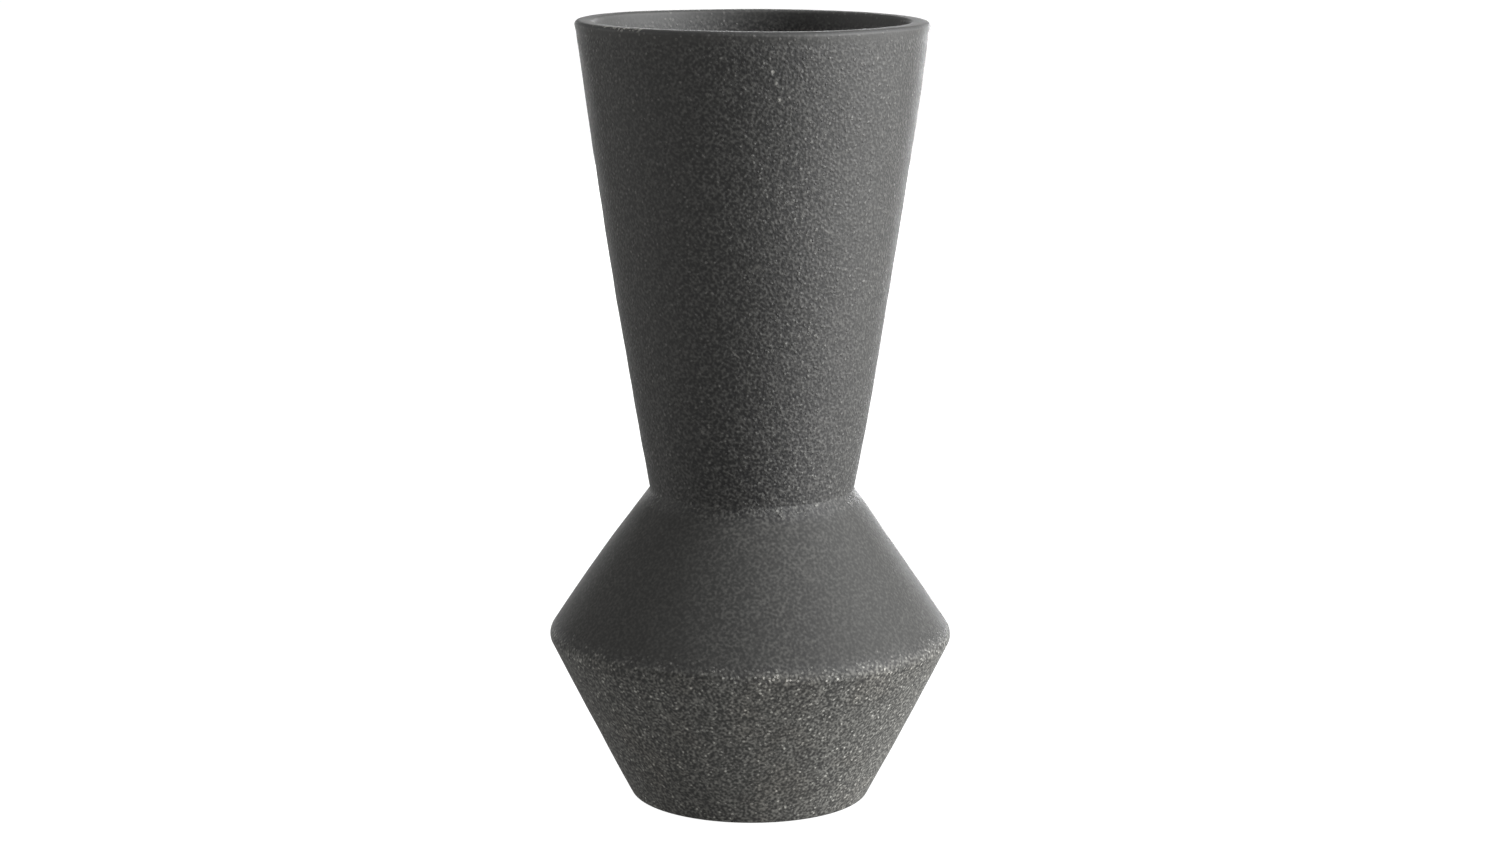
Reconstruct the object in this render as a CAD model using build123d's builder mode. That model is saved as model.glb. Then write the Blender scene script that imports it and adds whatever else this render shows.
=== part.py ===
"""Stoneware vase: a flared neck on a sharp-ridged double cone, put together from thrown sections.

Each clay section, each seam of slip, each coil worked into an inside corner and the glaze lining is a
body of revolution about Z. Every one is drawn as half a cross-section in the XZ plane and revolved.
Units are millimetres, the foot stands on Z = 0 and +Z is up.
"""

import os

from build123d import *

# ---- driving dimensions -------------------------------------------------------------------------

height = 330.0
rim_radius = 73.6  # outer corner of the lip, before it is rounded
waist_height = 132.8
waist_radius = 43.3
ridge_height = 70.7
ridge_radius = 86.0  # where the two cones would meet, before the ridge is rounded
foot_radius = 50.2

neck_bow = 1.25  # how far each wall swells past a straight cone at its middle
body_bow = 0.43

lip_width = 8.0
neck_wall = 7.6  # wall thicknesses, measured level
shoulder_wall = 9.0
lower_wall = 8.6

lip_rounding = 1.6
waist_rounding = 1.6
ridge_rounding = 4.8
ridge_nose = 0.8  # what that rounding takes off the ridge
foot_rounding = 2.8
inner_waist_rounding = 7.0
inner_waist_drop = 1.8  # the walls lean apart, so their inside corner lies lower than the outer

foot_recess = 3.0  # the base slab stands clear of the table by this much
recess_radius = 42.0
recess_draft = 1.5  # how much narrower the recess is at its top, where the slab rests on the ring
slab_thickness = 8.5

slip_thickness = 0.6
tongue_width = 2.6
tongue_depth = 2.4
seam_lip = 1.6  # clay closed over the outside of each seam, so that no slip shows

ridge_coil_radius = 20.0  # hollow curve that each coil is smoothed to
base_coil_radius = 15.0

glaze_thickness = 0.5
glaze_line = 80.0  # bare clay left inside the mouth, above where the water stands

# ---- worked out from them -----------------------------------------------------------------------

floor_height = foot_recess + slab_thickness
lower_rise = (ridge_radius - foot_radius) / ridge_height
inner_ridge_radius = ridge_radius - (shoulder_wall + lower_wall) / 2
inner_waist_radius = waist_radius - neck_wall
inner_waist_height = waist_height - inner_waist_drop
inner_rim_radius = rim_radius - lip_width
glaze_top = height - glaze_line
tongue_taper = tongue_width / 4
slab_contact = foot_recess + seam_lip


def inner_wall_radius(z):
    """Radius of the lower cone's inner face at a height below the ridge."""
    return inner_ridge_radius - (ridge_height - z) * lower_rise


def corner(sketch, radius, z):
    """The vertex of the sketch nearest a point of the cross-section."""
    return sketch.vertices().sort_by_distance((radius, z))[0]


# ---- half cross-sections shared by the pieces ---------------------------------------------------


def clay_outline():
    """Everything inside the vase's outer surface, from the axis out."""
    with BuildSketch(Plane.XZ) as outline:
        with BuildLine():
            Line((0, 0), (foot_radius, 0))
            SagittaArc((foot_radius, 0), (ridge_radius, ridge_height), -body_bow)
            SagittaArc((ridge_radius, ridge_height), (waist_radius, waist_height), -body_bow)
            SagittaArc((waist_radius, waist_height), (rim_radius, height), -neck_bow)
            Line((rim_radius, height), (0, height))
            Line((0, height), (0, 0))
        make_face()
        fillet(corner(outline, ridge_radius, ridge_height), ridge_rounding)
        fillet(corner(outline, waist_radius, waist_height), waist_rounding)
        fillet(corner(outline, foot_radius, 0), foot_rounding)
    return outline.sketch


def cavity(inset=0.0, with_coils=False):
    """The hollow of the vase. inset draws it smaller by a coat of glaze, and with_coils rounds the
    inside corners as the coils do."""
    floor = floor_height + inset
    with BuildSketch(Plane.XZ) as hollow:
        with BuildLine():
            wall_foot = (inner_wall_radius(floor) - inset, floor)
            ridge = (inner_ridge_radius - inset, ridge_height)
            waist = (inner_waist_radius - inset, inner_waist_height)
            mouth = (inner_rim_radius - inset, height)
            Line((0, floor), wall_foot)
            SagittaArc(wall_foot, ridge, -body_bow)
            SagittaArc(ridge, waist, -body_bow)
            SagittaArc(waist, mouth, -neck_bow)
            Line(mouth, (0, height))
            Line((0, height), (0, floor))
        make_face()
        fillet(corner(hollow, *waist), inner_waist_rounding + inset)
        if with_coils:
            fillet(corner(hollow, *ridge), ridge_coil_radius - inset)
            fillet(corner(hollow, *wall_foot), base_coil_radius - inset)
    return hollow.sketch


def band(low, high):
    """Everything between two heights."""
    with BuildSketch(Plane.XZ) as strip:
        with Locations((ridge_radius, (low + high) / 2)):
            Rectangle(2 * ridge_radius, high - low)
    return strip.sketch


def tongue(radius, level):
    """The tapered ridge that hangs under the upper section of a seam."""
    half = tongue_width / 2
    with BuildSketch(Plane.XZ) as key:
        with BuildLine():
            Polyline(
                (radius - half, level),
                (radius - half + tongue_taper, level - tongue_depth),
                (radius + half - tongue_taper, level - tongue_depth),
                (radius + half, level),
                close=True,
            )
        make_face()
    return key.sketch


def slip_bed(radius, level, outer_radius):
    """The bed cut into the lower section of a seam: a groove for the tongue, and a shallow shelf
    that runs from the seam lip inward."""
    half = tongue_width / 2 + slip_thickness
    bottom = level - tongue_depth - slip_thickness
    shelf = level - slip_thickness
    edge = outer_radius - seam_lip
    with BuildSketch(Plane.XZ) as bed:
        with BuildLine():
            Polyline(
                (0, level),
                (0, shelf),
                (radius - half, shelf),
                (radius - half + tongue_taper, bottom),
                (radius + half - tongue_taper, bottom),
                (radius + half, shelf),
                (edge, shelf),
                (edge, level),
                close=True,
            )
        make_face()
    return bed.sketch


def slab(clearance, bottom):
    """The disc of the base slab up to its bevelled edge, less a clearance, above a height."""
    with BuildSketch(Plane.XZ) as disc:
        with BuildLine():
            Polyline(
                (0, bottom),
                (inner_wall_radius(bottom) - clearance, bottom),
                (inner_wall_radius(floor_height) - clearance, floor_height),
                (0, floor_height),
                close=True,
            )
        make_face()
    return disc.sketch


outline = clay_outline()
raw_hollow = cavity()
coiled_hollow = cavity(with_coils=True)
glazed_hollow = cavity(inset=glaze_thickness, with_coils=True)

waist_seam = (waist_radius - neck_wall / 2 - seam_lip / 2, waist_height)
ridge_seam = (ridge_radius - shoulder_wall / 2 - seam_lip / 2, ridge_height)
waist_tongue = tongue(*waist_seam)
ridge_tongue = tongue(*ridge_seam)
waist_bed = slip_bed(*waist_seam, waist_radius)
ridge_bed = slip_bed(*ridge_seam, ridge_radius - ridge_nose)

with BuildSketch(Plane.XZ) as walls:
    add(outline)
    add(raw_hollow, mode=Mode.SUBTRACT)

# ---- the four clay sections ---------------------------------------------------------------------

with BuildPart() as neck:
    with BuildSketch(Plane.XZ) as neck_section:
        add(walls.sketch)
        add(band(waist_height, height), mode=Mode.INTERSECT)
        fillet(corner(neck_section, rim_radius, height), lip_rounding)
        fillet(corner(neck_section, inner_rim_radius, height), lip_rounding)
        add(waist_tongue)
    revolve(axis=Axis.Z)

with BuildPart() as shoulder:
    with BuildSketch(Plane.XZ):
        add(walls.sketch)
        add(band(ridge_height, waist_height), mode=Mode.INTERSECT)
        add(waist_bed, mode=Mode.SUBTRACT)
        add(ridge_tongue)
    revolve(axis=Axis.Z)

with BuildPart() as lower_body:
    with BuildSketch(Plane.XZ):
        add(walls.sketch)
        add(band(0, ridge_height), mode=Mode.INTERSECT)
        add(ridge_bed, mode=Mode.SUBTRACT)
        add(slab(0, foot_recess), mode=Mode.SUBTRACT)
        with BuildLine():
            Polyline(
                (0, 0),
                (recess_radius, 0),
                (recess_radius - recess_draft, foot_recess),
                (0, foot_recess),
                close=True,
            )
        make_face(mode=Mode.SUBTRACT)
    revolve(axis=Axis.Z)

with BuildPart() as base_slab:
    with BuildSketch(Plane.XZ):
        add(slab(0, foot_recess))
        add(band(slab_contact, floor_height), mode=Mode.SUBTRACT)
        add(slab(slip_thickness, slab_contact))
    revolve(axis=Axis.Z)

# ---- the slip in the three seams ----------------------------------------------------------------

with BuildPart() as waist_slip:
    with BuildSketch(Plane.XZ):
        add(waist_bed)
        add(walls.sketch, mode=Mode.INTERSECT)
        add(waist_tongue, mode=Mode.SUBTRACT)
    revolve(axis=Axis.Z)

with BuildPart() as ridge_slip:
    with BuildSketch(Plane.XZ):
        add(ridge_bed)
        add(walls.sketch, mode=Mode.INTERSECT)
        add(ridge_tongue, mode=Mode.SUBTRACT)
    revolve(axis=Axis.Z)

with BuildPart() as base_slip:
    with BuildSketch(Plane.XZ):
        add(slab(0, slab_contact))
        add(slab(slip_thickness, slab_contact), mode=Mode.SUBTRACT)
    revolve(axis=Axis.Z)

# ---- the coils worked into the inside corners ---------------------------------------------------

with BuildPart() as ridge_coil:
    with BuildSketch(Plane.XZ):
        add(raw_hollow)
        add(coiled_hollow, mode=Mode.SUBTRACT)
        add(band(ridge_height / 2, waist_height), mode=Mode.INTERSECT)
    revolve(axis=Axis.Z)

with BuildPart() as base_coil:
    with BuildSketch(Plane.XZ):
        add(raw_hollow)
        add(coiled_hollow, mode=Mode.SUBTRACT)
        add(band(0, ridge_height / 2), mode=Mode.INTERSECT)
    revolve(axis=Axis.Z)

# ---- the glaze that makes the inside watertight -------------------------------------------------

with BuildPart() as glaze_lining:
    with BuildSketch(Plane.XZ):
        add(coiled_hollow)
        add(glazed_hollow, mode=Mode.SUBTRACT)
        add(band(0, glaze_top), mode=Mode.INTERSECT)
    revolve(axis=Axis.Z)

# ---- one STEP file for each piece ---------------------------------------------------------------

pieces = {
    "neck": neck,
    "shoulder": shoulder,
    "lower_body": lower_body,
    "base_slab": base_slab,
    "waist_slip": waist_slip,
    "ridge_slip": ridge_slip,
    "base_slip": base_slip,
    "ridge_coil": ridge_coil,
    "base_coil": base_coil,
    "glaze_lining": glaze_lining,
}

os.makedirs("parts", exist_ok=True)
for name, piece in pieces.items():
    piece.part.label = name
    export_step(piece.part, f"parts/{name}.step")
    print(name, len(piece.part.solids()), round(piece.part.volume / 1000, 1), "cm3")
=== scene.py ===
"""Looks of the stoneware vase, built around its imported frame.

Every piece of the vase is turned in code: its half cross-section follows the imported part's dimensions,
and the turned surface then takes the small irregularities of a hand-made pot. All pieces read the same
relief, so that they still meet face to face. Lengths are metres.
"""

import math
from types import SimpleNamespace

import bpy
import numpy as np
from mathutils import Matrix, Vector


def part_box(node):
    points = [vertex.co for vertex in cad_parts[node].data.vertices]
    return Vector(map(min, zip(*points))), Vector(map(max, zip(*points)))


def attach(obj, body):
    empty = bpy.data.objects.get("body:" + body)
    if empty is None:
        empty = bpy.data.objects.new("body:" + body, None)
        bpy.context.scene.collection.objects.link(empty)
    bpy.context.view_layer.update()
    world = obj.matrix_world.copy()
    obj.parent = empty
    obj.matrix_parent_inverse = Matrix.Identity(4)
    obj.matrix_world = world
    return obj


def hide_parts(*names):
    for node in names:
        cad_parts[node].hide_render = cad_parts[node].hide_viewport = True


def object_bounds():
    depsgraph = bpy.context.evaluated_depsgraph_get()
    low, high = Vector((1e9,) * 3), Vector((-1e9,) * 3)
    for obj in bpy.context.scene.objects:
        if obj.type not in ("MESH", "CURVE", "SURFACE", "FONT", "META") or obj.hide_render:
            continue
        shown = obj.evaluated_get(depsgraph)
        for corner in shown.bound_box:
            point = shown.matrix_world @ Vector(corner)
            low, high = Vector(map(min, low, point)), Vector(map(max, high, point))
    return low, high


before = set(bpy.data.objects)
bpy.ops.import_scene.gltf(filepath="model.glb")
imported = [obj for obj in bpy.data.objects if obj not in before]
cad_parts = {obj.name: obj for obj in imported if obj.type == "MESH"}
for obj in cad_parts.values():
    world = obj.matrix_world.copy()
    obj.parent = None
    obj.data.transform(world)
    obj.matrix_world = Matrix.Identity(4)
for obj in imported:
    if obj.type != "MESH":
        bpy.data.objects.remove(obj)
cad_low, cad_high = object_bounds()

# ---- dimensions ---------------------------------------------------------------------------------

MM = 0.001

# levels, read from the frame
top_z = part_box("neck")[1].z
waist_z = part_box("shoulder")[1].z
ridge_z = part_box("lower_body")[1].z
floor_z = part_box("base_slab")[1].z
recess_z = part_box("base_slab")[0].z
glaze_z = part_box("glaze_lining")[1].z

# outside corners before they are rounded, and how far each wall swells at its middle
rim_radius = 73.6 * MM
waist_radius = 43.3 * MM
ridge_radius = 86.0 * MM
foot_radius = 50.2 * MM
recess_radius = 42.0 * MM
recess_draft = 1.5 * MM
neck_bow = 1.25 * MM
body_bow = 0.43 * MM

# walls, and the rounding of their corners
lip_width = 8.0 * MM
neck_wall = 7.6 * MM
shoulder_wall = 9.0 * MM
lower_wall = 8.6 * MM
lip_rounding = 1.6 * MM
waist_rounding = 1.6 * MM
ridge_rounding = 4.8 * MM
foot_rounding = 2.8 * MM
inner_waist_rounding = 7.0 * MM
inner_waist_drop = 1.8 * MM
ridge_coil_rounding = 20.0 * MM
base_coil_rounding = 15.0 * MM
glaze_thickness = 0.5 * MM
glaze_taper = 0.9 * MM

# the tongue and the bed of slip in each seam
slip_thickness = 0.6 * MM
tongue_width = 2.6 * MM
tongue_depth = 2.4 * MM
tongue_taper = tongue_width / 4
seam_lip = 1.6 * MM

lower_slope = (ridge_radius - foot_radius) / ridge_z
neck_widening = (rim_radius - waist_radius) / (top_z - waist_z)
inner_ridge_radius = ridge_radius - (shoulder_wall + lower_wall) / 2
inner_waist = (waist_radius - neck_wall, waist_z - inner_waist_drop)
inner_rim_radius = rim_radius - lip_width
lip_middle = (rim_radius - lip_width / 2, top_z)
waist_seam = waist_radius - neck_wall / 2 - seam_lip / 2
ridge_seam = ridge_radius - shoulder_wall / 2 - seam_lip / 2
slab_contact_z = recess_z + seam_lip

# spacing of the mesh: columns round the vase, and rows along its walls and round its corners
COLUMNS = 384
NECK_ROW = 1.5 * MM
BODY_ROW = 0.8 * MM
INNER_ROW = 2.6 * MM
CORNER_ROW = 0.4 * MM
CORNER_ROWS_PER_RADIUS = 16


def inner_wall_radius(z):
    """Radius of the lower cone's inner face at a height below the ridge."""
    return inner_ridge_radius - (ridge_z - z) * lower_slope


def neck_cone(z):
    """Radius of the neck's outside at a height, before it swells."""
    return waist_radius + (z - waist_z) * neck_widening


# ---- half cross-sections ------------------------------------------------------------------------


def path(corners, row):
    """Points along a line of walls, a row apart. Each corner is (radius, z, rounding, swell), where
    swell is how far the wall after the corner bows out at its middle, to the right of its direction."""
    places = [np.array(corner[:2], float) for corner in corners]
    walls = []
    for start, end, corner in zip(places, places[1:], corners):
        along = end - start
        right = np.array([along[1], -along[0]]) / np.linalg.norm(along)
        walls.append((start, along, right * 4 * corner[3]))
    turns, trims = [0.0], [0.0]
    for (_, before, swell), (_, after, next_swell), corner in zip(walls, walls[1:], corners[1:]):
        arriving, leaving = before - swell, after + next_swell
        cross = arriving[0] * leaving[1] - arriving[1] * leaving[0]
        turns.append(math.atan2(cross, arriving @ leaving))
        trims.append(corner[2] * math.tan(abs(turns[-1]) / 2))
    trims.append(0.0)
    line = []
    for i, (start, along, swell) in enumerate(walls):
        length = np.linalg.norm(along)
        low, high = trims[i] / length, 1 - trims[i + 1] / length
        share = np.linspace(low, high, max(2, math.ceil((high - low) * length / row) + 1))[:, None]
        wall = start + along * share + swell * share * (1 - share)
        if trims[i]:
            line.extend(round_corner(line[-1], wall[0], turns[i], corners[i][2]))
        line.extend(wall if trims[i] or not line else wall[1:])
    return np.array(line)


def round_corner(start, end, turn, radius):
    """Points of an arc from start to end, without its ends."""
    chord = end - start
    left = np.array([-chord[1], chord[0]]) / np.linalg.norm(chord)
    centre = (start + end) / 2 + left * math.copysign(radius * math.cos(turn / 2), turn)
    row = max(CORNER_ROW, radius / CORNER_ROWS_PER_RADIUS)
    steps = max(3, math.ceil(radius * abs(turn) / row))
    points = []
    for k in range(1, steps):
        c, s = math.cos(turn * k / steps), math.sin(turn * k / steps)
        points.append(centre + np.array([[c, -s], [s, c]]) @ (start - centre))
    return points


def below(line, level):
    """The part of an upward path below a height, cut exactly there."""
    kept = line[line[:, 1] < level - 1e-7]
    return np.vstack([kept, (np.interp(level, line[:, 1], line[:, 0]), level)])


def above(line, level):
    """The part of an upward path above a height, cut exactly there."""
    kept = line[line[:, 1] > level + 1e-7]
    return np.vstack([(np.interp(level, line[:, 1], line[:, 0]), level), kept])


def tongue(radius, level):
    """The tapered ridge under the upper section of a seam, from its inner side out."""
    half = tongue_width / 2
    return [
        (radius - half, level),
        (radius - half + tongue_taper, level - tongue_depth),
        (radius + half - tongue_taper, level - tongue_depth),
        (radius + half, level),
    ]


def slip_bed(radius, level, edge):
    """The groove and shelf cut into the lower section of a seam, from its outer side in."""
    half = tongue_width / 2 + slip_thickness
    shelf = level - slip_thickness
    bottom = shelf - tongue_depth
    return [
        (edge, level),
        (edge, shelf),
        (radius + half, shelf),
        (radius + half - tongue_taper, bottom),
        (radius - half + tongue_taper, bottom),
        (radius - half, shelf),
    ]


def outer_path(row):
    """The outside, from the foot ring's inner edge up to the middle of the lip."""
    return path([
        (recess_radius, 0, 0, 0),
        (foot_radius, 0, foot_rounding, body_bow),
        (ridge_radius, ridge_z, ridge_rounding, body_bow),
        (waist_radius, waist_z, waist_rounding, neck_bow),
        (rim_radius, top_z, lip_rounding, 0),
        (*lip_middle, 0, 0),
    ], row)


def inner_path(inset=0.0, ridge_rounding=0.0, base_rounding=0.0):
    """The inside, from the centre of the floor up to the middle of the lip, less an inset."""
    floor = floor_z + inset
    return path([
        (0, floor, 0, 0),
        (inner_wall_radius(floor) - inset, floor, max(0, base_rounding - inset), body_bow),
        (inner_ridge_radius - inset, ridge_z, max(0, ridge_rounding - inset), body_bow),
        (inner_waist[0] - inset, inner_waist[1], inner_waist_rounding + inset, neck_bow),
        (inner_rim_radius - inset, top_z, lip_rounding, 0),
        (*lip_middle, 0, 0),
    ], INNER_ROW)


# ---- the relief of a hand-made pot --------------------------------------------------------------


def smooth(value, low, high):
    """0 below low, 1 above high and an S-curve between. low may be the larger of the two."""
    t = np.clip((value - low) / (high - low), 0, 1)
    return t * t * (3 - 2 * t)


def waves(seed, count, turns, length, angle, z):
    """Random relief of about 1 either way, made of slanted waves that close round the vase: at most
    turns of them round it, and none shorter than length along it."""
    rng = np.random.default_rng(seed)
    total = 0.0
    for _ in range(count):
        around = rng.integers(0, turns + 1)
        along = rng.uniform(-1, 1) * math.tau / length
        total = total + np.cos(around * angle + along * z + rng.uniform(0, math.tau))
    return total / math.sqrt(count / 2)


def outside_relief(angle, z):
    """How far the outside stands off its drawn line."""
    lumps = 0.10 * waves(11, 14, 3, 70 * MM, angle, z)
    hand = 0.035 * waves(12, 40, 22, 14 * MM, angle, z)
    under_lip = np.exp(-(((z - top_z + 5.2 * MM) / (1.5 * MM)) ** 2))
    groove = -0.18 * under_lip * (1 + 0.4 * waves(13, 6, 5, 1, angle, z))
    on_bead = np.exp(-(((z - top_z + 1.7 * MM) / (0.6 * MM)) ** 2))
    bead = 0.12 * on_bead * (1 + 0.5 * waves(15, 8, 9, 1, angle, z))
    step_z = ridge_z - 3.7 * MM + 0.35 * MM * waves(14, 8, 7, 1, angle, z)
    step = -0.02 * smooth(z, step_z + 0.8 * MM, step_z - 0.8 * MM) * smooth(z, 0, 12 * MM)
    resting = smooth(z, 0, 4 * MM)
    return (lumps + hand + groove + bead + step) * resting * MM


def inside_relief(angle, z):
    """The throwing rings left by the fingers inside, slightly spiral and uneven."""
    pitch = 8.5 * MM
    drift = 1.1 * waves(21, 9, 2, 55 * MM, angle, z)
    strength = 0.26 + 0.10 * waves(22, 8, 2, 60 * MM, angle, z)
    rings = strength * np.cos(math.tau * z / pitch + angle + drift)
    lumps = 0.12 * waves(23, 14, 3, 60 * MM, angle, z)
    shown = smooth(z, floor_z, floor_z + 14 * MM) * smooth(z, top_z - 3 * MM, top_z - 14 * MM)
    off_seam = 1 - 0.6 * np.exp(-(((z - waist_z) / (5 * MM)) ** 2))
    return (rings * off_seam + lumps) * shown * MM


def floor_relief(angle, radius):
    """The spiral left on the floor by the last turns of the wheel."""
    spiral = 0.30 * np.cos(math.tau * radius / (7 * MM) - angle)
    return spiral * smooth(radius, 2 * MM, 9 * MM) * smooth(radius, 44 * MM, 30 * MM) * MM


def lip_lift(angle):
    """How far the lip rises and falls round the mouth. It only ever falls below the drawn height."""
    sway = 0.28 * np.sin(angle) + 0.07 * waves(31, 8, 6, 1, angle, 0.0)
    return np.minimum(sway - 0.30, 0) * MM


def axis_shift(z):
    """How far the pot leans sideways at a height: the neck was set a little off the body, and the mouth
    pulled back over it."""
    set_off = 0.75 * smooth(z, waist_z - 30 * MM, waist_z)
    lean = -0.9 * smooth(z, 0, top_z) - 0.45 * smooth(z, top_z - 26 * MM, top_z)
    return (set_off + lean) * MM, 0.25 * set_off * MM


def relieved(radius, z, angle, outer, inner):
    """The finished place of turned points. outer and inner say how far each point shares the relief
    of the two faces."""
    moved = radius + outer * outside_relief(angle, z) + inner * inside_relief(angle, z)
    on_floor = inner * smooth(z, floor_z + 3 * MM, floor_z + 0.6 * MM)
    near_lip = smooth(z, top_z - 16 * MM, top_z)
    raised = z + near_lip * lip_lift(angle) + on_floor * floor_relief(angle, radius)
    shift_x, shift_y = axis_shift(z)
    return np.stack([moved * np.cos(angle) + shift_x, moved * np.sin(angle) + shift_y, raised], -1)


# ---- turning the pieces -------------------------------------------------------------------------

OUTSIDE, INSIDE, HIDDEN = (1, 0), (0, 1), (0, 0)
MAP_SHARE = {OUTSIDE: 1.0, INSIDE: 0.45, HIDDEN: 0.12}


def joined(stretches):
    """One loop of points from stretches (points, face), with each point's share of the two reliefs
    and its place along the map. A point where two stretches meet belongs to the face that shows."""
    points, shares, steps = [], [], []
    for line, face in stretches:
        for k, place in enumerate(np.asarray(line, float)):
            if points and np.allclose(points[-1], place, atol=1e-8):
                shares[-1] = np.maximum(shares[-1], face)
                continue
            step = np.linalg.norm(place - points[-1]) * MAP_SHARE[face] if points else 0.0
            points.append(place)
            shares.append(np.array(face, float))
            steps.append(step)
    if np.allclose(points[0], points[-1], atol=1e-8):
        shares[0] = np.maximum(shares[0], shares[-1])
        del points[-1], shares[-1]
        closing = steps.pop()
    else:
        closing = np.linalg.norm(points[0] - points[-1]) * MAP_SHARE[stretches[-1][1]]
    along = np.cumsum([*steps, closing])
    return np.array(points), np.array(shares), along / along[-1]


def turned(node, stretches, material):
    """A closed piece that stands for a node, turned about the vase's axis from a loop that runs
    anticlockwise in its half cross-section. A loop that starts or ends on the axis closes there in a
    single point."""
    points, shares, along = joined(stretches)
    rows = len(points)
    angle = np.arange(COLUMNS) * math.tau / COLUMNS
    radius, z = points[:, :1], points[:, 1:]
    outer, inner = shares[:, :1], shares[:, 1:]
    grid = relieved(radius, z, angle, outer, inner)
    on_axis = points[:, 0] < 1e-9
    vertices, first = [], []
    for k in range(rows):
        first.append(len(vertices))
        vertices.extend([grid[k].mean(0)] if on_axis[k] else grid[k])
    faces, maps = [], []
    open_loop = on_axis[0] and on_axis[-1]
    for k in range(rows - 1 if open_loop else rows):
        after = (k + 1) % rows
        for j in range(COLUMNS):
            corners = [(k, j), (k, j + 1), (after, j + 1), (after, j)]
            if on_axis[k]:
                corners = [corners[0], corners[2], corners[3]]
            elif on_axis[after]:
                corners = corners[:3]
            faces.append([first[i] + (0 if on_axis[i] else c % COLUMNS) for i, c in corners])
            for i, c in corners:
                maps.extend((c / COLUMNS, along[k] if i == k else along[k + 1]))
    mesh = bpy.data.meshes.new("turned_" + node)
    mesh.from_pydata(vertices, [], faces)
    mesh.uv_layers.new(name="OFBake").data.foreach_set("uv", maps)
    mesh.shade_smooth()
    mesh.set_sharp_from_angle(angle=math.radians(50))
    mesh.materials.append(material)
    piece = bpy.data.objects.new("turned_" + node, mesh)
    bpy.context.scene.collection.objects.link(piece)
    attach(piece, "root")
    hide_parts(node)
    return piece


# ---- materials ----------------------------------------------------------------------------------


class Shader:
    """A material's node tree. Inputs may be numbers, colours or the outputs of other nodes."""

    def __init__(self, name):
        self.material = bpy.data.materials.new(name)
        self.material.use_nodes = True
        self.tree = self.material.node_tree
        self.tree.nodes.clear()

    def add(self, kind, inputs, output=0, **settings):
        node = self.tree.nodes.new("ShaderNode" + kind)
        for key, value in settings.items():
            setattr(node, key, value)
        for socket, value in inputs.items():
            if isinstance(value, bpy.types.NodeSocket):
                self.tree.links.new(value, node.inputs[socket])
            else:
                node.inputs[socket].default_value = value
        return node.outputs[output] if node.outputs else None

    def place(self):
        return self.add("TexCoord", {}, "Object")

    def math(self, operation, a, b=0.0, c=0.0):
        return self.add("Math", {0: a, 1: b, 2: c}, operation=operation)

    def gap(self, value, centre):
        """How far a value is from a centre, either way."""
        return self.math("ABSOLUTE", self.math("SUBTRACT", value, centre))

    def noise(self, place, size, detail=2.0, roughness=0.5, distortion=0.0):
        """Noise from 0 to 1 whose features are about size across."""
        inputs = {"Vector": place, "Scale": 1 / size, "Detail": detail, "Roughness": roughness,
                  "Distortion": distortion}
        return self.add("TexNoise", inputs, "Fac")

    def fade(self, value, low, high, start=0.0, end=1.0):
        """start below low, end above high and an S-curve between. low may be the larger of the two."""
        inputs = {"Value": value, "From Min": low, "From Max": high, "To Min": start, "To Max": end}
        return self.add("MapRange", inputs, interpolation_type="SMOOTHSTEP")

    def mix(self, share, a, b):
        inputs = {"Factor": share, 6: a, 7: b}
        return self.add("Mix", inputs, 2, data_type="RGBA")

    def scaled(self, colour, factor):
        return self.add("VectorMath", {0: colour, "Scale": factor}, operation="SCALE")

    def spot(self, place, centre, size, tilt=0.0):
        """1 at centre, falling to 0 at the edge of an ellipsoid of that size, turned about Y."""
        inputs = {"Vector": place, "Location": centre, "Rotation": (0, tilt, 0), "Scale": size}
        local = self.add("Mapping", inputs, vector_type="TEXTURE")
        reach = self.add("VectorMath", {0: local}, "Value", operation="LENGTH")
        return self.fade(reach, 1.0, 0.25)

    def finish(self, colour, roughness, height, **constants):
        """height is the bump's relief in millimetres."""
        bump = self.add("Bump", {"Height": height, "Distance": MM, "Strength": 1.0})
        inputs = {"Base Color": colour, "Roughness": roughness, "Normal": bump, **constants}
        surface = self.add("BsdfPrincipled", inputs)
        self.add("OutputMaterial", {"Surface": surface})
        return self.material


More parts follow.
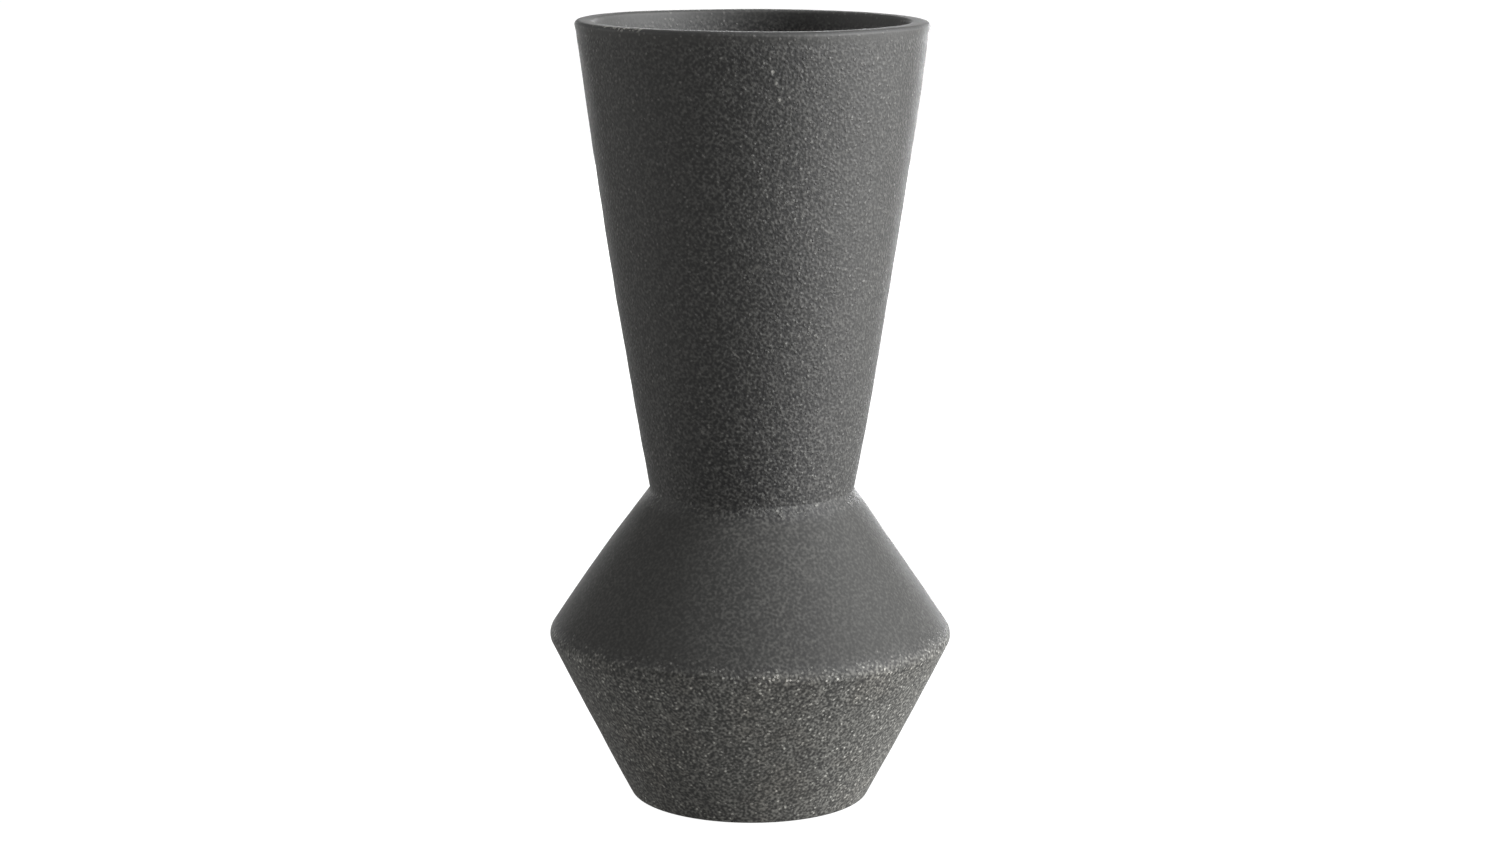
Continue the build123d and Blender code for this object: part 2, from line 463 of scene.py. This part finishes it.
def find_zones(s, place):
    """Where each finish of the clay lies, as masks from 0 to 1. The zones' edges wander a little."""
    zone = SimpleNamespace()
    x = s.add("SeparateXYZ", {"Vector": place}, "X")
    z = s.add("SeparateXYZ", {"Vector": place}, "Z")
    wander = s.noise(place, 9 * MM, 2.0)
    zone.z = z
    zone.edge_z = s.math("MULTIPLY_ADD", wander, 4 * MM, s.math("SUBTRACT", z, 2 * MM))

    # the neck, its sandier foot, the smoothed band under its lip, and the left and right of the vase, where
    # the grain is weakened as painted sheen
    zone.neck = s.fade(zone.edge_z, waist_z - 9 * MM, waist_z - 1 * MM)
    zone.near_waist = s.fade(z, waist_z + 80 * MM, waist_z)
    zone.smoothed = s.fade(z, top_z - 7 * MM, top_z - 3 * MM)
    zone.wiped = s.fade(s.gap(x, 3 * MM), 8 * MM, 42 * MM)

    # the inside of the neck, which is darkened as painted shade, and the outer edge of its lip, where a
    # dark line is painted shade
    flat = s.add("VectorMath", {0: place, 1: (1, 1, 0)}, operation="MULTIPLY")
    radius = s.add("VectorMath", {0: flat}, "Value", operation="LENGTH")
    outer = s.math("MULTIPLY_ADD", z, neck_widening, neck_cone(0))
    depth = s.math("SUBTRACT", outer, radius)
    zone.inside = s.fade(depth, 2 * MM, 6 * MM)
    at_edge = s.fade(depth, 2.4 * MM, 1.2 * MM)
    zone.lip_edge = s.math("MULTIPLY", s.fade(z, top_z - 2.2 * MM, top_z - 1.1 * MM), at_edge)

    # the coarse clay below the ridge, the band along it, and a painted shadow: a thin dark line of shade
    # under the ridge, here and there
    zone.coarse = s.fade(zone.edge_z, ridge_z + 11 * MM, ridge_z - 3.4 * MM)
    zone.ridge = s.fade(s.gap(zone.edge_z, ridge_z + 2 * MM), 9 * MM, 0.6 * MM)
    in_crease = s.fade(s.gap(z, ridge_z - 3.3 * MM), 1.2 * MM, 0.2 * MM)
    zone.crease = s.math("MULTIPLY", in_crease, s.fade(wander, 0.40, 0.60))

    zone.rough = s.math("MAXIMUM", zone.neck, zone.coarse)
    return zone


def clay_body(s, place, zone):
    """The colour of the clay without its grain."""
    mottle = s.noise(place, 38 * MM, 4.0, 0.6)
    shoulder = s.mix(mottle, (0.0228, 0.0224, 0.0206, 1), (0.0290, 0.0284, 0.0261, 1))
    neck = s.mix(mottle, (0.0300, 0.0293, 0.0271, 1), (0.0375, 0.0366, 0.0338, 1))
    coarse = s.mix(mottle, (0.0780, 0.0765, 0.0693, 1), (0.0920, 0.0903, 0.0817, 1))
    rusty = s.fade(s.noise(place, 24 * MM, 2.0), 0.45, 0.7, 0.0, 0.3)
    coarse = s.mix(rusty, coarse, (0.092, 0.083, 0.070, 1))
    clay = s.mix(s.fade(zone.edge_z, waist_z - 2.5 * MM, waist_z + 2 * MM), shoulder, neck)
    return s.mix(s.fade(zone.edge_z, ridge_z + 4.5 * MM, ridge_z - 3.4 * MM), clay, coarse)


def sand_contrast(s, zone):
    """How much paler the sand is than the clay between its grains."""
    contrast = s.fade(zone.near_waist, 0.0, 1.0, 0.62, 0.74)
    contrast = s.fade(zone.neck, 0.0, 1.0, 0.44, contrast)
    # painted sheen: the sand's contrast is cut on the left and right of the vase, standing in for the sheen
    # and flatter light that wash the grain out there
    contrast = s.math("MULTIPLY", s.math("MULTIPLY_ADD", zone.wiped, -0.40, 1.0), contrast)
    coarse = s.fade(zone.z, ridge_z - 26 * MM, ridge_z - 6 * MM, 0.60, 0.62)
    contrast = s.fade(zone.coarse, 0.0, 1.0, contrast, coarse)
    return s.math("MULTIPLY_ADD", zone.smoothed, -0.28, contrast)


def grog_grains(s, place, zone):
    """Single grains of grog, as a mask. There are more of them where the clay is coarse."""
    cells = {"Vector": place, "Scale": 1 / (2.1 * MM), "Randomness": 1.0}
    nearest = s.add("TexVoronoi", cells, "Distance")
    chosen = s.add("SeparateColor", {"Color": s.add("TexVoronoi", cells, "Color")}, "Red")
    amount = s.fade(zone.neck, 0.0, 1.0, 0.0, s.fade(zone.near_waist, 0.0, 1.0, 0.62, 0.80))
    amount = s.fade(zone.coarse, 0.0, 1.0, amount, 0.80)
    amount = s.math("MULTIPLY_ADD", zone.ridge, 0.60, amount)
    size = s.fade(s.math("ADD", chosen, amount), 0.80, 1.50, 0.0, 0.34)
    return s.fade(s.math("SUBTRACT", size, nearest), 0.0, 0.10)


def with_marks(s, place, clay, marks):
    """The clay with chips out of its lip and the marks of handling on it."""
    chips = s.fade(s.noise(place, 1.5 * MM, 1.0), 0.56, 0.64)
    chipped = s.spot(place, (-54 * MM, -50 * MM, top_z), (28 * MM, 28 * MM, 2.6 * MM))
    clay = s.mix(s.math("MULTIPLY", chips, chipped), clay, (0.200, 0.194, 0.175, 1))
    for across, level, length, width, tilt, strength in marks:
        front = -math.sqrt(neck_cone(level) ** 2 - across**2)
        mark = s.spot(place, (across, front, level), (length, 4 * MM, width), math.radians(tilt))
        clay = s.mix(s.math("MULTIPLY", mark, strength), clay, (0.220, 0.214, 0.195, 1))
    return clay


def stoneware(name, shine=0.5, marks=()):
    """Dark unglazed stoneware. Its finish depends on its place on the vase: gritty up the neck, burnished
    on the shoulder, and left rough with dense pale grog below the ridge. shine is the specular level. Each
    mark is (x, z, half length, half width, tilt in degrees, strength) on the front of the neck."""
    s = Shader(name)
    place = s.place()
    zone = find_zones(s, place)

    # sand about a millimetre across, and single pale grains of grog
    tilted = s.add("Mapping", {"Vector": place, "Rotation": (0.7, 0.5, 0.9)})
    sand = s.math("POWER", s.fade(s.noise(tilted, 1.25 * MM, 1.0, 0.3), 0.20, 0.90), 1.5)
    shade = s.math("MULTIPLY_ADD", s.math("MULTIPLY_ADD", sand, 3.4, -1.2), sand_contrast(s, zone), 1.0)
    grog = grog_grains(s, tilted, zone)
    paleness = s.math("MULTIPLY_ADD", zone.ridge, 0.2, s.fade(zone.coarse, 0.0, 1.0, 1.0, 1.5))

    clay = clay_body(s, place, zone)
    # painted shadow: the clay is darkened along a thin line of shade under the ridge
    clay = s.scaled(clay, s.math("MULTIPLY", shade, s.math("MULTIPLY_ADD", zone.crease, -0.35, 1.0)))
    # painted shade: the clay inside the vase is darkened where its walls shade it
    clay = s.scaled(clay, s.fade(zone.inside, 0.0, 1.0, 1.0, 0.72))
    # painted shade: a dark line along the outer edge of the lip, where it faces away from the light
    clay = s.scaled(clay, s.fade(zone.lip_edge, 0.0, 1.0, 1.0, 0.45))
    clay = s.scaled(clay, s.math("MULTIPLY_ADD", grog, paleness, 1.0))
    clay = with_marks(s, place, clay, marks)

    # the sand and the grog stand up a little, and a finer grit covers everything
    grit = s.math("ADD", s.noise(tilted, 1.1 * MM, 1.0), s.math("MULTIPLY", sand, 0.7))
    relief = s.fade(zone.rough, 0.5, 1.0, 0.02, s.fade(zone.near_waist, 0.0, 1.0, 0.20, 0.22))
    relief = s.math("MULTIPLY_ADD", zone.smoothed, -0.12, relief)
    relief = s.fade(zone.coarse, 0.0, 1.0, relief, 0.13)
    relief = s.math("MULTIPLY", relief, s.fade(zone.inside, 0.0, 1.0, 1.0, 0.4))
    height = s.math("MULTIPLY", s.math("ADD", grit, s.math("MULTIPLY", grog, 1.1)), relief)
    roughness = s.fade(zone.rough, 0.0, 1.0, 0.84, 0.73)
    return s.finish(clay, roughness, height, **{"Specular IOR Level": shine})


def slip(name):
    """The fine clay that joins the sections."""
    s = Shader(name)
    place = s.place()
    cloud = s.noise(place, 3 * MM, 3.0, 0.6)
    clay = s.mix(cloud, (0.060, 0.057, 0.053, 1), (0.085, 0.080, 0.074, 1))
    return s.finish(clay, s.fade(cloud, 0.3, 0.7, 0.7, 0.85), s.math("MULTIPLY", cloud, 0.05))


def glaze(name):
    """A thin dark satin glaze, pooled thicker in the rings."""
    s = Shader(name)
    place = s.place()
    pool = s.noise(place, 16 * MM, 3.0, 0.6)
    fleck = s.fade(s.noise(place, 1.6 * MM, 2.0), 0.60, 0.70)
    colour = s.mix(pool, (0.020, 0.020, 0.021, 1), (0.042, 0.041, 0.039, 1))
    colour = s.mix(s.math("MULTIPLY", fleck, 0.5), colour, (0.11, 0.105, 0.095, 1))
    roughness = s.fade(pool, 0.3, 0.7, 0.24, 0.40)
    return s.finish(colour, roughness, s.math("MULTIPLY", s.noise(place, 4 * MM, 2.0), 0.06))


# ---- the pieces ---------------------------------------------------------------------------------

neck_marks = [
    (7.8 * MM, 313.9 * MM, 1.0 * MM, 1.0 * MM, 0, 1.0),
    (9.2 * MM, 309.3 * MM, 0.8 * MM, 0.9 * MM, 0, 0.9),
    (10.5 * MM, 302.7 * MM, 1.1 * MM, 1.0 * MM, 0, 1.0),
    (15.0 * MM, 297.0 * MM, 0.5 * MM, 4.0 * MM, 8, 0.2),
    (30.0 * MM, 249.0 * MM, 6.0 * MM, 0.7 * MM, 32, 0.15),
    (1.8 * MM, 235.0 * MM, 3.4 * MM, 1.1 * MM, -35, 0.25),
    (-6.4 * MM, 198.3 * MM, 3.2 * MM, 0.6 * MM, 42, 0.5),
]
neck_clay = stoneware("speckled_stoneware", 0.5, neck_marks)
shoulder_clay = stoneware("burnished_stoneware", 0.36)
lower_clay = stoneware("coarse_stoneware")
slip_clay = slip("slip")
inside_glaze = glaze("glaze")

neck_outside = above(outer_path(NECK_ROW), waist_z)
body_outside = outer_path(BODY_ROW)
bare_inside = inner_path()
coiled_inside = inner_path(0.0, ridge_coil_rounding, base_coil_rounding)
glazed_inside = inner_path(glaze_thickness, ridge_coil_rounding, base_coil_rounding)


def section_under(line_outside, seam, level, low, foot):
    """The stretches of a section whose top is cut for a seam: its outside, the bed of slip, its inside
    down to a height, and its foot."""
    edge = np.interp(level, line_outside[:, 1], line_outside[:, 0]) - seam_lip
    inner = above(below(bare_inside, level - slip_thickness), low)[::-1]
    return [(line_outside, OUTSIDE), (slip_bed(seam, level, edge), HIDDEN), (inner, INSIDE), (foot, HIDDEN)]


def seam_foot(seam, level, line_outside):
    """The underside of a section that stands on a seam, from its inner side out."""
    return [above(bare_inside, level)[0], *tongue(seam, level), line_outside[0]]


def seam_slip(seam, level, line_outside):
    """The stretches of the ring of slip in a seam."""
    edge = np.interp(level, line_outside[:, 1], line_outside[:, 0]) - seam_lip
    inner = above(below(bare_inside, level), level - slip_thickness)
    under = [inner[0], *slip_bed(seam, level, edge)[::-1]]
    over = [(edge, level), *tongue(seam, level)[::-1], inner[-1]]
    return [(under, HIDDEN), (over, HIDDEN), (inner[::-1], INSIDE)]


shoulder_outside = above(below(body_outside, waist_z), ridge_z)
lower_outside = below(body_outside, ridge_z)
slab_edge = [(inner_wall_radius(z), z) for z in (recess_z, slab_contact_z, floor_z)]
slab_edge_in_slip = [(radius - slip_thickness, z) for radius, z in slab_edge[1:]]

turned("neck", [
    (neck_outside, OUTSIDE),
    (above(bare_inside, waist_z)[::-1], INSIDE),
    (seam_foot(waist_seam, waist_z, neck_outside), HIDDEN),
], neck_clay)

turned("shoulder", section_under(
    shoulder_outside, waist_seam, waist_z, ridge_z, seam_foot(ridge_seam, ridge_z, shoulder_outside),
), shoulder_clay)

turned("lower_body", section_under(
    lower_outside, ridge_seam, ridge_z, floor_z,
    [slab_edge[2], slab_edge[0], (recess_radius - recess_draft, recess_z), (recess_radius, 0)],
), lower_clay)

turned("base_slab", [
    (path([(0, recess_z, 0, 0), (*slab_edge[0], 0, 0)], INNER_ROW), HIDDEN),
    ([slab_edge[0], slab_edge[1], *slab_edge_in_slip], HIDDEN),
    (path([(*slab_edge_in_slip[1], 0, 0), (0, floor_z, 0, 0)], INNER_ROW), INSIDE),
], lower_clay)

turned("waist_slip", seam_slip(waist_seam, waist_z, neck_outside), slip_clay)
turned("ridge_slip", seam_slip(ridge_seam, ridge_z, shoulder_outside), slip_clay)
turned("base_slip", [
    ([slab_edge_in_slip[0], slab_edge[1], slab_edge[2]], HIDDEN),
    ([slab_edge[2], slab_edge_in_slip[1]], INSIDE),
    (slab_edge_in_slip[::-1], HIDDEN),
], slip_clay)

coil_low, coil_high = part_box("ridge_coil")[0].z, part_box("ridge_coil")[1].z
turned("ridge_coil", [
    (above(below(bare_inside, coil_high), coil_low), INSIDE),
    (above(below(coiled_inside, coil_high), coil_low)[::-1], INSIDE),
], lower_clay)

coil_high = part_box("base_coil")[1].z
coil_face = above(below(coiled_inside, coil_high), floor_z)
turned("base_coil", [
    (np.vstack([coil_face[0], above(below(bare_inside, coil_high), floor_z)]), INSIDE),
    (coil_face[::-1], INSIDE),
], lower_clay)

turned("glaze_lining", [
    (below(coiled_inside, glaze_z), INSIDE),
    (below(glazed_inside, glaze_z - glaze_taper)[::-1], INSIDE),
], inside_glaze)

# ---- the studio: a white floor in a white room, lit by soft boxes ------------------------------

FLOOR_RADIUS = 12.0
FLOOR_SIDES = 96
FLOOR_GLOW = 0.28
ROOM_GLOW = 0.32
COOL_WHITE = (0.99, 1.0, 1.02)

camera_place = Vector((0.0, -1.3716, 0.4159))
camera_aim = Vector((-0.0006, 0.0, 0.1608))
camera_lens = 79.28  # mm, as is the sensor's width
camera_sensor = 36.0
camera_roll = 0.0046


def aimed(place, aim):
    """A matrix at place that looks at aim, with its top up."""
    turn = (aim - place).to_track_quat("-Z", "Y").to_matrix().to_4x4()
    return Matrix.Translation(place) @ turn


def white_to_camera(tree, strength):
    """Full white for the camera, and another strength for the light that reaches the vase."""
    seen = tree.nodes.new("ShaderNodeLightPath")
    mix = tree.nodes.new("ShaderNodeMix")
    mix.inputs["A"].default_value = strength
    mix.inputs["B"].default_value = 1.0
    tree.links.new(seen.outputs["Is Camera Ray"], mix.inputs["Factor"])
    return mix.outputs["Result"]


def white_floor():
    """A wide level disc of white paper that carries only a faint shadow."""
    s = Shader("floor_paper")
    grain = s.noise(s.place(), 40 * MM, 3.0)
    paper = s.mix(grain, (0.09, 0.09, 0.09, 1), (0.11, 0.11, 0.11, 1))
    surface = s.add("BsdfPrincipled", {
        "Base Color": paper, "Roughness": 0.9, "Specular IOR Level": 0.1,
        "Emission Color": (1, 1, 1, 1), "Emission Strength": white_to_camera(s.tree, FLOOR_GLOW),
    })
    s.add("OutputMaterial", {"Surface": surface})
    mesh = bpy.data.meshes.new("floor")
    angle = np.arange(FLOOR_SIDES) * math.tau / FLOOR_SIDES
    rim = np.stack([FLOOR_RADIUS * np.cos(angle), FLOOR_RADIUS * np.sin(angle), angle * 0], -1)
    mesh.from_pydata(rim, [], [range(FLOOR_SIDES)])
    mesh.materials.append(s.material)
    floor = bpy.data.objects.new("floor", mesh)
    floor.location.z = cad_low.z - 0.1 * MM
    bpy.context.scene.collection.objects.link(floor)


def white_room():
    """A room that is white to the camera and adds little light of its own."""
    world = bpy.data.worlds.new("white_room")
    world.use_nodes = True
    bpy.context.scene.world = world
    background = world.node_tree.nodes["Background"]
    strength = white_to_camera(world.node_tree, ROOM_GLOW)
    background.inputs["Color"].default_value = (1, 1, 1, 1)
    world.node_tree.links.new(strength, background.inputs["Strength"])


def soft_light(name, round_from_front, rise, distance, size, radiance, colour=(1, 1, 1)):
    """A soft box aimed at the middle of the vase, placed by its angles in degrees round from the camera's
    side towards +X and above the horizon. The camera doesn't see it."""
    turn, tilt = math.radians(round_from_front), math.radians(rise)
    middle = Vector((0, 0, top_z / 2))
    way = Vector((math.sin(turn) * math.cos(tilt), -math.cos(turn) * math.cos(tilt), math.sin(tilt)))
    data = bpy.data.lights.new(name, "AREA")
    data.shape = "RECTANGLE"
    data.size, data.size_y = size
    data.energy = radiance * math.pi * size[0] * size[1]
    data.color = colour
    lamp = bpy.data.objects.new(name, data)
    lamp.matrix_world = aimed(middle + way * distance, middle)
    lamp.visible_camera = False
    bpy.context.scene.collection.objects.link(lamp)


def camera():
    """The photo's viewpoint."""
    data = bpy.data.cameras.new("camera")
    data.lens = camera_lens
    data.sensor_width = camera_sensor
    made = bpy.data.objects.new("camera", data)
    made.matrix_world = aimed(camera_place, camera_aim) @ Matrix.Rotation(camera_roll, 4, "Z")
    bpy.context.scene.collection.objects.link(made)
    bpy.context.scene.camera = made


white_floor()
white_room()
soft_light("key", 62, 9, 2.2, (0.95, 0.95), 17.8, COOL_WHITE)
soft_light("side", 85, 34, 2.2, (0.95, 0.95), 49.0, COOL_WHITE)
soft_light("fill", -95, 30, 2.2, (1.6, 1.4), 3.3)
soft_light("back_right", 165, 0, 2.5, (1.4, 0.9), 29.0, COOL_WHITE)
soft_light("back_left", -165, 0, 2.5, (1.4, 0.9), 11.5)
camera()
bpy.context.scene.view_settings.view_transform = "Standard"
